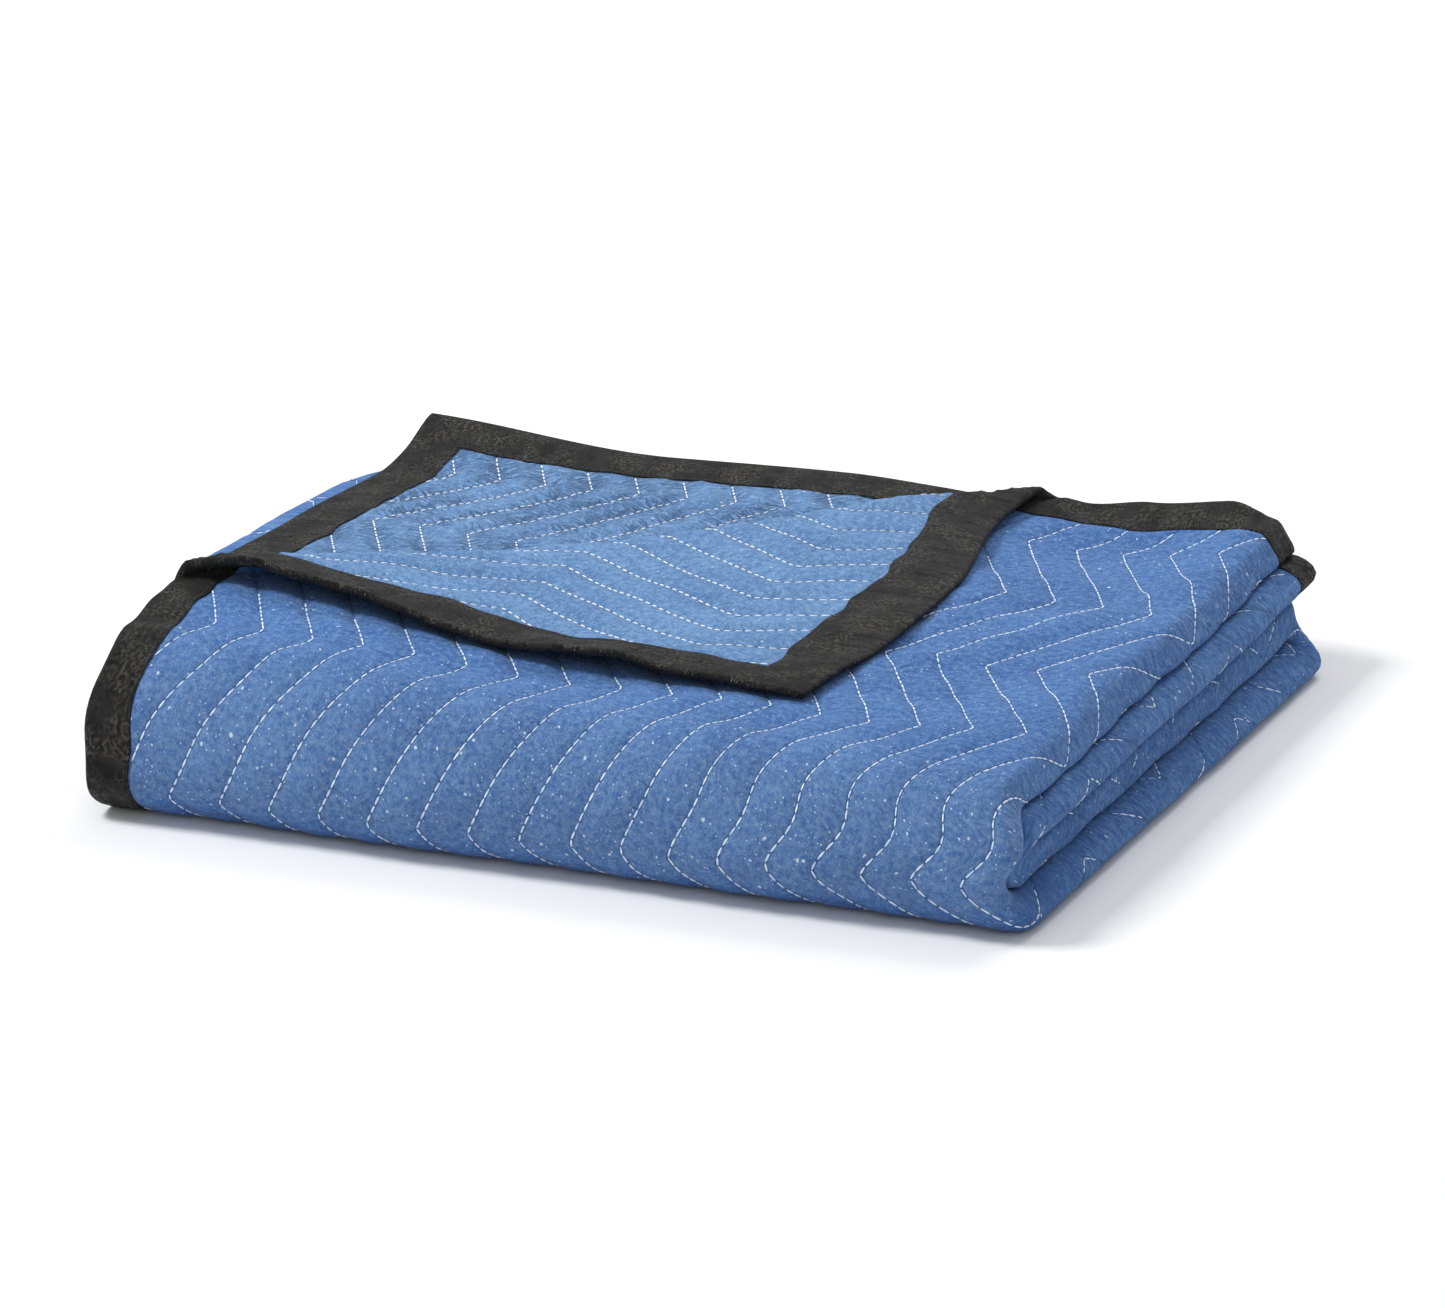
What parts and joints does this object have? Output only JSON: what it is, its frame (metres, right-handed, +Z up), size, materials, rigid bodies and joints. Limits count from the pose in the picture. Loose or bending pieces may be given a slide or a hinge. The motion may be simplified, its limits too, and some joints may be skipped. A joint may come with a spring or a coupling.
{
  "type": "folded moving blanket",
  "caption": "Quilted moving blanket with bound edges, folded in four each way into a flat pile, with one corner of its top layer turned back.",
  "frame": {"origin": "centre of the bounding box of the folded pile, on the surface it lies on", "axes": "+X along the longer side of the pile, from the bound edges at the left to the folds at the right; +Y from the round fold at the front to the bound edges at the back; +Z up"},
  "size_m": [0.5373, 0.4824, 0.1063],
  "materials": {
    "quilted_cloth": "matte blue nonwoven cloth with pale zigzag quilting; the reverse is a lighter blue",
    "binding_tape": "black woven binding tape, a dull sheen"
  },
  "bodies": {
    "root": {"quilted_panel": "quilted_cloth", "binding_side_near": "binding_tape", "binding_side_far": "binding_tape", "binding_end_near": "binding_tape", "binding_end_far": "binding_tape"}
  },
  "joints": []
}
